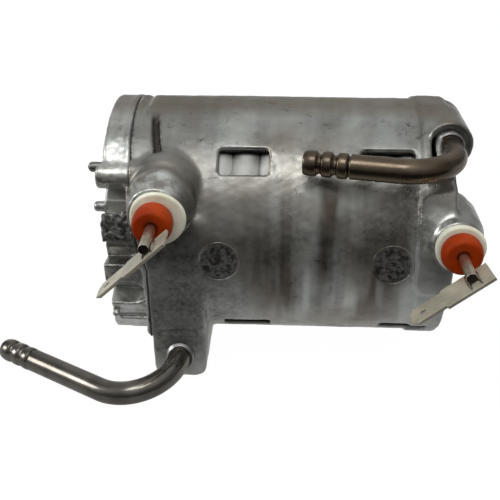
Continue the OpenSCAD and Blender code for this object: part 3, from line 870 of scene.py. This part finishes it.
def floor_material():
    """Pale floor. Reflections see it as a table top that darkens towards the front."""
    material, tree, bsdf = new_material("pale_floor")
    shade = remap(tree, lumps(tree, 3.0, 2.0), 0.3, 0.7)
    tree.links.new(mix(tree, shade, (0.93, 0.93, 0.93), (0.96, 0.96, 0.96)), bsdf.inputs["Base Color"])
    bsdf.inputs["Roughness"].default_value = 0.9
    depth = remap(tree, object_axes(tree)[1], *TABLE_Y)
    table = emission(tree, ramp(tree, depth, TABLE_STOPS), 1.0)
    glow = emission(tree, mix(tree, shade, (1.0, 1.0, 1.0), (0.99, 0.99, 0.99)), 1.04)
    seen = mix_shader(tree, FLOOR_GLOW, bsdf.outputs[0], glow)
    surface = mix_shader(tree, camera_ray(tree), table, seen)
    tree.links.new(surface, tree.nodes["Material Output"].inputs["Surface"])
    return material


def lobe(tree, direction, centre, low, high, level):
    """Brightness round one direction; low and high are cosines of the angle to it."""
    dot = add(tree, "ShaderNodeVectorMath", operation="DOT_PRODUCT")
    tree.links.new(direction, dot.inputs[0])
    dot.inputs[1].default_value = tuple(Vector(centre).normalized())
    return remap(tree, dot.outputs["Value"], low, high, 0.0, level)


def room():
    """Even light on matt surfaces, white for the camera; reflections see a room with soft panels."""
    world = bpy.data.worlds.new("studio")
    world.use_nodes = True
    tree = world.node_tree
    background = tree.nodes["Background"]
    background.inputs["Strength"].default_value = 1.0
    direction = add(tree, "ShaderNodeTexCoord").outputs["Generated"]
    level = ROOM_LEVEL
    for panel in PANELS:
        level = calc(tree, "ADD", lobe(tree, direction, *panel), level)
    glossy = add(tree, "ShaderNodeLightPath").outputs["Is Glossy Ray"]
    split = add(tree, "ShaderNodeSeparateXYZ")
    tree.links.new(direction, split.inputs[0])
    even = remap(tree, split.outputs["Z"], 0.0, 1.0, *EVEN_LEVELS)
    unseen = mix_level(tree, calc(tree, "SUBTRACT", 1.0, glossy), level, even)
    tree.links.new(mix_level(tree, camera_ray(tree), unseen, 1.0), background.inputs["Color"])
    bpy.context.scene.world = world


# ---------------- pieces

def casting(name, node, field, low, high, step, material):
    """Piece on the zero surface of a field, meshed between two corners."""
    verts, quads = surface_net(field, low, high, step)
    obj = new_piece(name, verts, quads, material)
    return place(obj, node)


def mark_rims(material):
    """Raised, uneven flash round the marks of the mould's pins."""
    steps = 96
    for i, x in enumerate(MARK_X):
        loop = []
        radii = []
        for k in range(steps + 1):
            a = 2 * math.pi * k / steps
            c = math.cos(a)
            s = math.sin(a)
            v = MARK_R * s
            loop.append((x + MARK_R * c, -math.sqrt(BARREL_R ** 2 - v * v) - 0.02, v))
            wave = noise.noise(Vector((2.0 * c + 7 * i, 2.0 * s, 0.3)))
            radii.append(max(0.2 + 0.14 * wave + 0.1 * math.cos(a + 0.7), 0.08))
        verts, faces = sweep(loop, radii, 8)
        place(new_piece(f"mark_rim_{i}", verts, faces, material), None)


def coil_path():
    """Centre line of the sheath: tail, turns, tail."""
    start = math.radians(COIL_START)
    bend = (COIL_R * math.sin(start) - LEFT["z"]) / (1 - math.cos(start))
    tail_y = COIL_R * math.cos(start) + bend * math.sin(start)
    path = [(LEFT["x"], -d, LEFT["z"]) for d in (LEFT["boss"] - 1.2, 31.0)]
    bend_points = 6
    for k in range(bend_points):
        a = start * k / bend_points
        path.append((LEFT["x"], bend * math.sin(a) - tail_y, LEFT["z"] + bend * (1 - math.cos(a))))
    turn_points = 40
    count = int((COIL_END - COIL_START) / 360 * turn_points)
    for k in range(count + 1):
        a = math.radians(COIL_START + (COIL_END - COIL_START) * k / count)
        x = LEFT["x"] + COIL_PITCH * (math.degrees(a) - COIL_START) / 360
        path.append((x, -COIL_R * math.cos(a), COIL_R * math.sin(a)))
    # The last turn runs into the right terminal along a Bezier curve
    p0 = np.array(path[-1])
    p1 = p0 + 9 * np.array((0.04, -math.sin(math.radians(50)), math.sin(math.radians(40))))
    p2 = np.array((RIGHT["x"], -21.0, RIGHT["z"]))
    p3 = np.array((RIGHT["x"], -30.0, RIGHT["z"]))
    curve_points = 14
    for k in range(1, curve_points + 1):
        t = k / curve_points
        s = 1 - t
        path.append(tuple(s ** 3 * p0 + 3 * s ** 2 * t * p1 + 3 * s * t * t * p2 + t ** 3 * p3))
    path.append((RIGHT["x"], 1.2 - RIGHT["boss"], RIGHT["z"]))
    return path


def coil(material):
    """The sheath, a little fuller than in CAD, as the windows show it."""
    path = coil_path()
    verts, faces = sweep(path, [SHEATH_R + COIL_GROWTH] * len(path), 20)
    place(new_piece("coil_sheath", verts, faces, material), "heater_sheath")


def ceramic_ring(side, spec, shift, material):
    """White ring with rounded rims, pressed on the boss a little off centre."""
    hole = 2.8
    rim = spec["rim"]
    height = spec["ring"] - spec["boss"]
    profile = rounded([
        (hole, -0.9), (hole, height + 0.1), (rim - 0.2, height + 0.1), (rim, 0.7), (rim - 1.3, 0.4),
        (rim - 1.3, -0.9), (hole, -0.9)], 0.6)

    def placed(u, v, w):
        uneven = 1 + 0.018 * math.sin(3 * math.atan2(v, u) + 1.0)
        x = spec["x"] + shift[0] + u * uneven
        z = spec["z"] + shift[1] + v * uneven
        return (x, -spec["boss"] - w, z)
    ring = lathe(profile, 96, placed)
    closed_piece(f"white_ring_{side}", ring, material, f"ceramic_ring_{side}")


def silicone_plug(side, spec, material):
    """Orange plug with a soft shoulder and a dimple round the pin."""
    length = spec["plug"] - spec["ring"]
    r = spec["plug_r"]
    profile = rounded([
        (PIN_R + 0.02, -1.6), (PIN_R + 0.02, length - 1.0), (PIN_R + 0.9, length - 0.25),
        (r - 0.6, length), (r, length - 1.6), (r + 0.15, length * 0.4), (r - 0.1, 0.0),
        (2.5, -0.05), (2.5, -1.6), (PIN_R + 0.02, -1.6)], 0.9)
    plug = lathe(profile, 72, to_front(spec["x"], spec["z"], spec["ring"]))
    closed_piece(f"orange_plug_{side}", plug, material, f"silicone_plug_{side}")


def terminal_pin(side, spec, material, end_material):
    """Round pin with a dark sheared end."""
    base = spec["boss"] - PIN_DEPTH
    length = spec["pin"] - base
    profile = rounded([
        (0.01, 0.0), (PIN_R, 0.0), (PIN_R, length - 0.1), (PIN_R - 0.12, length),
        (0.01, length)], 0.1)
    pin = lathe(profile, 40, to_front(spec["x"], spec["z"], base))
    obj = closed_piece(f"cold_pin_{side}", pin, material, f"terminal_pin_{side}")
    obj.data.materials.append(end_material)
    for poly in obj.data.polygons:
        if poly.center.y < -(spec["pin"] - 0.06) * MM:
            poly.material_index = 1


def tab_frame(spec, centre, turn, lean):
    """Placement matrix of a tab: x along the blade, y across it, z away from the pin."""
    there = Matrix.Translation(Vector((spec["x"], -centre, spec["z"])))
    about_pin = Matrix.Rotation(math.radians(turn), 4, "Y")
    return there @ about_pin @ Matrix.Rotation(math.radians(lean), 4, "Z")


def tab(side, matrix, pin_from_end, material):
    """Spade tab: wide end, shoulders, bevelled blade with a hole, rounded edges."""
    shoulder = TAB_LENGTH - BLADE_LENGTH
    root = TAB_ROOT_W / 2
    half = BLADE_W / 2
    tip = TAB_LENGTH - BLADE_TIP
    upper = [(0.0, root), (shoulder - 0.3, root), (shoulder, half), (tip, half),
             (TAB_LENGTH, half - BLADE_TIP)]
    outline = [(x, -y) for x, y in upper] + upper[::-1]
    bm = bmesh.new()
    rim = [bm.verts.new((x, y, 0.0)) for x, y in outline]
    hole = []
    hole_x = TAB_LENGTH - BLADE_HOLE_FROM_TIP
    hole_points = 24
    for k in range(hole_points):
        a = 2 * math.pi * k / hole_points
        hole.append(bm.verts.new((
            hole_x + BLADE_HOLE_R * math.cos(a), BLADE_HOLE_R * math.sin(a), 0.0)))
    edges = [bm.edges.new((a, b)) for a, b in zip(rim, rim[1:] + rim[:1])]
    edges += [bm.edges.new((a, b)) for a, b in zip(hole, hole[1:] + hole[:1])]
    bmesh.ops.triangle_fill(bm, edges=edges, use_beauty=True)
    made = bmesh.ops.extrude_face_region(bm, geom=bm.faces[:])
    top = [g for g in made["geom"] if isinstance(g, bmesh.types.BMVert)]
    bmesh.ops.translate(bm, verts=top, vec=(0.0, 0.0, TAB_T))
    # The blade's tip is coined thinner
    for v in bm.verts:
        if v.co.x > TAB_LENGTH - 0.01:
            v.co.z = TAB_T / 2 + (v.co.z - TAB_T / 2) * 0.4
    bmesh.ops.recalc_face_normals(bm, faces=bm.faces)
    for v in bm.verts:
        v.co = matrix @ (v.co + Vector((-pin_from_end, 0.0, PIN_R)))
        v.co *= MM
    mesh = bpy.data.meshes.new(f"blade_tab_{side}")
    bm.to_mesh(mesh)
    bm.free()
    obj = add_object(f"blade_tab_{side}", mesh, material)
    bevel = obj.modifiers.new("edges", "BEVEL")
    bevel.width = 0.12 * MM
    bevel.segments = 2
    bevel.limit_method = "ANGLE"
    place(obj, f"terminal_tab_{side}")


def weld_beads(side, matrix, material):
    """Two bright fillets of weld between a pin and its tab."""
    for sign in (-1, 1):
        path = []
        radii = []
        count = 18
        for k in range(count + 1):
            t = k / count
            path.append(matrix @ Vector((sign * 1.35, -3.2 + 6.2 * t, PIN_R - 0.15)))
            swell = 0.5 + 0.12 * noise.noise(Vector((6 * t, sign, 2.0)))
            radii.append(swell * math.sin(math.pi * min(max(t, 0.02), 0.98)) ** 0.4)
        verts, faces = sweep(path, radii, 10)
        name = f"weld_{side}_{'a' if sign < 0 else 'b'}"
        place(new_piece(name, verts, faces, material), None)


def barb_radius(from_end):
    """Outer radius of a tube near its barbed end."""
    k = from_end / BARB_PITCH
    if k >= BARBS:
        return TUBE_R
    phase = k % 1.0
    from_groove = min(phase, 1.0 - phase) if k > 0.4 else 1.0
    dip = max(0.0, 1 - (from_groove / 0.2) ** 2)
    crown = 0.32 * math.sin(math.pi * phase) ** 0.8
    return TUBE_R - 0.2 + crown - 0.5 * math.sqrt(dip)


def tube(name, node, matrix, inner, bend_r, bend, leg, material):
    """Bent tube with rolled barbs and an open, hollow end.

    matrix puts the bend's start; inner is the straight length before it, leg the one after it."""
    points = [Vector((0.0, t, 0.0)) for t in (inner, 0.0)]
    forward = [Vector((0.0, -1.0, 0.0))] * 2
    steps = 40
    for k in range(1, steps + 1):
        a = math.radians(bend) * k / steps
        points.append(Vector((bend_r * math.cos(a) - bend_r, -bend_r * math.sin(a), 0.0)))
        forward.append(Vector((-math.sin(a), -math.cos(a), 0.0)))
    end = points[-1]
    direction = forward[-1]
    plain = leg - BARB_STRETCH
    plain_steps = 6
    barb_steps = 70
    distances = [plain * k / plain_steps for k in range(1, plain_steps + 1)]
    distances += [plain + (leg - plain) * k / barb_steps for k in range(1, barb_steps + 1)]
    points += [end + direction * d for d in distances]
    radii = [TUBE_R] * (steps + 2) + [barb_radius(leg - d) for d in distances]
    # Round the lip and run back inside the bore
    lip = end + direction * leg
    lip_profile = (
        (0.18, radii[-1] - 0.12), (0.22, BORE_R + 0.15), (0.05, BORE_R - 0.02), (-8.0, BORE_R - 0.1))
    for over, r in lip_profile:
        points.append(lip + direction * over)
        radii.append(r)
    forward += [direction] * (len(points) - len(forward))
    verts = []
    side = Vector((0.0, 0.0, 1.0))
    ring = 40
    for point, ahead, r in zip(points, forward, radii):
        across = ahead.cross(side)
        for k in range(ring):
            b = 2 * math.pi * k / ring
            verts.append(matrix @ (point + r * (math.cos(b) * across + math.sin(b) * side)))
    closed_piece(name, (verts, ring_faces(len(points), ring)), material, node)


def collar(name, node, spec, lean, r, material):
    """Soft domed collar where a tube enters the casting."""
    profile = rounded([
        (TUBE_R + 0.02, -0.8), (r, -0.8), (r, 0.7), (TUBE_R + 0.3, 1.5), (TUBE_R + 0.02, 1.3)], 0.6)
    verts, faces = lathe(profile, 64, to_front(spec["x"], spec["z"], spec["front"], lean))
    place(new_piece(name, verts, faces, material), node)


def pin_ends(material):
    """Rounded ends of the cap's pins."""
    profile = rounded([
        (0.01, -18.0), (PIN_END_R, -18.0), (PIN_END_R, 3.0), (0.01, 3.6)], 0.7)
    for i, a in enumerate(PIN_ANGLES):
        c, s = (PIN_CIRCLE * part for part in cos_sin(a))

        def placed(u, v, w, c=c, s=s):
            return (-w, -c + u, s + v)
        node = "cap_pins" if i == 0 else None
        closed_piece(f"cap_pin_{i}", lathe(profile, 32, placed), material, node)


# ---------------- stage

def stage():
    """Pale floor, soft lights and the white room."""
    signs = ((-1, -1), (1, -1), (1, 1), (-1, 1))
    corners = [(FLOOR_HALF * u, FLOOR_HALF * v, FLOOR_Z) for u, v in signs]
    mesh = bpy.data.meshes.new("floor")
    mesh.from_pydata(corners, [], [(0, 1, 2, 3)])
    add_object("floor", mesh, floor_material())
    room()
    soft_light("key", (-0.05, -0.3, 0.62), 0.75)
    soft_light("left", (-0.7, -0.1, 0.35), 1.3)
    bpy.context.scene.view_settings.view_transform = "Standard"


def aimed(name, data, at, direction):
    """Object for a light or camera that looks in a direction."""
    obj = bpy.data.objects.new(name, data)
    obj.location = at
    obj.rotation_euler = direction.to_track_quat("-Z", "Y").to_euler()
    bpy.context.scene.collection.objects.link(obj)
    return obj


def soft_light(name, at, power):
    """Square area light aimed at the barrel's middle."""
    data = bpy.data.lights.new(name, "AREA")
    data.size = LAMP_SIZE
    data.energy = power
    aimed(name, data, at, Vector(LAMP_AIM) - Vector(at))


def camera():
    """The photograph's view: down by VIEW_TILT and a little to the left."""
    data = bpy.data.cameras.new("view")
    data.sensor_width = 36.0
    data.lens = CAMERA_LENS
    data.clip_start = 0.01
    direction = Vector((CAMERA_SIDEWAYS, math.cos(VIEW_TILT), -math.sin(VIEW_TILT)))
    bpy.context.scene.camera = aimed("view", data, CAMERA_AT, direction)


def dress_nodes(frame, looks):
    """Gives the CAD nodes that stay in view their materials."""
    for node, material in looks.items():
        mesh = frame["nodes"][node].data
        mesh.materials.clear()
        mesh.materials.append(material)


def skins():
    """Materials of the barrel and the cap."""
    marks = [((x, -BARREL_R, 0.0), 5.6, 0.85) for x in MARK_X]
    foot = [((18.0, -31.0, -12.0), 21.0, 0.4)]
    stains = [
        ((75.0, -29.0, 13.0), 7.5, 0.3), ((69.0, -30.0, 9.0), 5.0, 0.3),
        ((21.0, -31.0, -8.0), 6.0, 0.5)]
    # Painted highlights on the tops of the bosses
    highlights = [
        ((LEFT["x"] - 1.0, -36.0, LEFT["z"] + 6.0), 8.0, 1.0), ((82.5, -31.0, 9.0), 7.0, 1.0),
        ((OUTLET["x"], -31.0, OUTLET["z"] - 1.0), 6.0, 0.4)]
    # Painted shade on the fronts of the cap's lugs and in the gap beside them
    lug_shade = [
        ((4.0, -29.0, 7.8), 6.5, 0.9), ((7.0, -28.5, 4.0), 5.0, 0.7),
        ((6.0, -29.0, -5.0), 5.0, 0.6)]
    barrel_skin = cast_aluminium(
        "barrel_skin", (0.56, 0.575, 0.545), (0.36, 0.368, 0.348), 0.03, 0.6,
        marks + stains + foot, highlights)
    # The cap's bright patch near its front lug is a painted highlight
    cap_skin = cast_aluminium(
        "cap_skin", (0.76, 0.78, 0.74), (0.46, 0.468, 0.443), 0.05, 0.9, lug_shade,
        [((3.5, -22.5, 23.5), 6.5, 0.7)])
    return barrel_skin, cap_skin


def terminals(white):
    """Rings, plugs, pins, blades and welds of both ends of the heater."""
    nickel = plain_metal("nickel", (0.82, 0.75, 0.6), 0.26, 0.42, 0.01, 500.0)
    pale_nickel = plain_metal("pale_nickel", (0.74, 0.69, 0.55), 0.3, 0.5, 0.008, metallic=0.6)
    weld = plain_metal("weld_metal", (0.75, 0.72, 0.66), 0.15, 0.3, 0.03)
    sheared = plain_metal("sheared_end", (0.06, 0.045, 0.04), 0.35, 0.6)
    orange = soft_solid(
        "orange_silicone", (0.4, 0.045, 0.001), (0.26, 0.022, 0.001), 0.45, 120.0, 0.01, specular=0.12)
    ends = (
        ("left", LEFT, (0.7, -0.2), tab_frame(LEFT, 53.9, 138.6, -3.4), 4.8),
        ("right", RIGHT, (0.1, 0.0), tab_frame(RIGHT, 49.1, 144.4, -5.4), 4.4))
    for side, spec, ring_shift, matrix, pin_from_end in ends:
        ceramic_ring(side, spec, ring_shift, white)
        silicone_plug(side, spec, orange)
        terminal_pin(side, spec, nickel, sheared)
        tab(side, matrix, pin_from_end, pale_nickel)
        weld_beads(side, matrix, weld)


def water_tubes():
    """Inlet and outlet with their collars."""
    inlet_steel = plain_metal("inlet_steel", (0.3, 0.28, 0.245), 0.14, 0.22, 0.004, 420.0)
    outlet_steel = plain_metal("outlet_steel", (0.23, 0.18, 0.13), 0.2, 0.32, 0.006, 420.0)
    pressed = plain_metal("collar_metal", (0.62, 0.62, 0.61), 0.3, 0.42)
    tilt = 10.0
    inlet = Matrix.Translation(Vector((INLET["x"], -INLET["front"], INLET["z"])))
    inlet = inlet @ Matrix.Rotation(math.radians(tilt), 4, "X")
    inlet = inlet @ Matrix.Rotation(math.radians(-7.4), 4, "Y")
    tube("water_inlet", "inlet_tube", inlet, 8.0, 13.1, 121.3, 35.4, inlet_steel)
    outlet = Matrix.Translation(Vector((OUTLET["x"], -OUTLET["front"] - 6.35, OUTLET["z"])))
    tube("water_outlet", "outlet_tube", outlet, 14.3, 12.0, 101.6, 22.5, outlet_steel)
    collar("collar_inlet", "inlet_collar", {**INLET, "z": INLET["z"] - 0.3}, tilt, 3.9, pressed)
    seat = {**OUTLET, "front": OUTLET["front"] - 0.6}
    collar("collar_outlet", "outlet_collar", seat, 0.0, 3.9, pressed)


def build():
    """Makes every piece and the stage."""
    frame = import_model()
    barrel_skin, cap_skin = skins()
    steel = plain_metal("pin_metal", (0.42, 0.42, 0.41), 0.3, 0.45)
    white = soft_solid("white_ceramic", (0.92, 0.93, 0.78), (0.7, 0.68, 0.52), 0.45, 160.0, 0.03, 0.1)
    black = soft_solid("gasket", (0.03, 0.03, 0.03), (0.05, 0.05, 0.05), 0.6, 300.0, 0.02)
    pale = soft_solid("core_plastic", (0.75, 0.73, 0.68), (0.68, 0.66, 0.6), 0.5, 120.0, 0.01)

    casting("barrel_casting", "main_body", barrel_field, (6.0, -39.0, -37.0), (98.5, 36.5, 36.5), 0.6,
            barrel_skin)
    casting("cap_casting", "end_cap", cap_field, (-5.0, -36.0, -36.5), (16.0, 36.0, 36.5), 0.45,
            cap_skin)
    mark_rims(barrel_skin)
    coil(coil_metal())
    terminals(white)
    water_tubes()
    pin_ends(steel)
    dress_nodes(frame, {
        "cap_gasket": black, "displacer_core": pale, "flow_spiral": steel,
        "heater_powder": white, "heating_wire": steel})
    stage()
    camera()


build()
